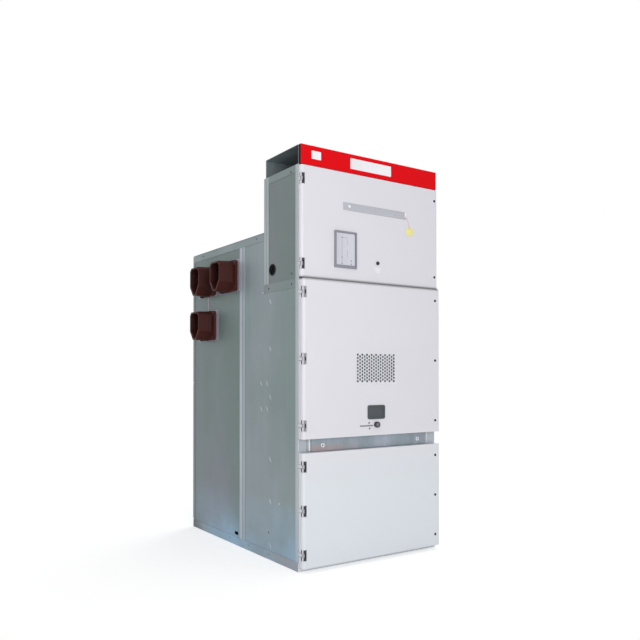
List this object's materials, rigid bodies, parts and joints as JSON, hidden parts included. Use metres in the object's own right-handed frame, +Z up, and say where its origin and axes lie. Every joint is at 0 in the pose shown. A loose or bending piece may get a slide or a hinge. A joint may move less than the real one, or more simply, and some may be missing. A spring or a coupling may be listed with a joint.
{
  "type": "withdrawable switchgear cubicle",
  "caption": "Free-standing metal-clad switchgear cubicle with hinged instrument, breaker and cable compartment doors, side busbar bushings and a red-fronted hood.",
  "frame": {"origin": "on the floor, at the centre of the four anchor holes in the base frame", "axes": "+Z up; the doors face -Y; +X to the right of someone facing the doors; the busbar bushings stand out towards -X"},
  "size_m": [1.1045, 1.431, 2.3],
  "materials": {
    "galvanised": "aluminium-zinc coated steel sheet, dull silver grey",
    "zinc_plated": "bright zinc plated steel",
    "nonmagnetic_plate": "stainless sheet, brushed",
    "grey_paint": "light grey powder coat, satin",
    "red_paint": "red powder coat, satin",
    "brown_epoxy": "cast epoxy resin, dark red-brown, semi-gloss",
    "black_rubber": "matt black rubber",
    "black_metal": "black coated steel",
    "black_plastic": "matt black plastic",
    "grey_plastic": "mid grey moulded plastic",
    "label_metal": "satin aluminium",
    "window_glass": "clear laminated pane over a dark compartment",
    "yellow_tag": "pale yellow card",
    "pink_string": "pink cotton string"
  },
  "bodies": {
    "cabinet": {"base_frame": "galvanised", "front_posts": "galvanised", "mid_posts": "galvanised", "rear_posts": "galvanised", "top_rails": "galvanised", "left_front_panel": "galvanised", "left_rear_panel": "galvanised", "right_front_panel": "galvanised", "right_rear_panel": "galvanised", "roof_sheet": "galvanised", "relief_flaps": "galvanised", "rear_cover_lower": "galvanised", "rear_cover_upper": "galvanised", "floor_plates": "galvanised", "breaker_floor": "galvanised", "rear_partition": "galvanised", "instrument_walls": "galvanised", "instrument_floor": "galvanised", "instrument_shell": "galvanised", "bus_hood": "galvanised", "docking_beam": "galvanised", "guide_rails": "zinc_plated", "shutters": "zinc_plated", "docking_bushes": "zinc_plated", "hinge_brackets": "zinc_plated", "bushing_plates": "nonmagnetic_plate", "fascia": "red_paint", "bushings": "brown_epoxy", "cable_grommets": "black_rubber"},
    "instrument_door": {"upper_door": "grey_paint", "upper_door_hinges": "black_metal", "label_strip": "label_metal", "status_indicator": "grey_plastic", "door_lock": "black_metal", "tag_string": "pink_string", "tag": "yellow_tag"},
    "breaker_door": {"middle_door": "grey_paint", "middle_door_hinges": "black_metal", "vent_grille": "grey_paint", "vent_baffle": "galvanised", "window_frame": "black_rubber", "window_pane": "window_glass", "door_knob": "black_plastic"},
    "cable_door": {"lower_door": "grey_paint", "lower_door_hinges": "black_metal"}
  },
  "joints": [
    {"name": "instrument_door_hinge", "type": "hinge", "parent": "cabinet", "child": "instrument_door", "pos_m": [-0.491, -0.7035, 1.885], "axis": [0, 0, -1], "range_deg": [0, 110]},
    {"name": "breaker_door_hinge", "type": "hinge", "parent": "cabinet", "child": "breaker_door", "pos_m": [-0.491, -0.7215, 1.1435], "axis": [0, 0, -1], "range_deg": [0, 110]},
    {"name": "cable_door_hinge", "type": "hinge", "parent": "cabinet", "child": "cable_door", "pos_m": [-0.491, -0.7215, 0.3315], "axis": [0, 0, -1], "range_deg": [0, 110]}
  ]
}
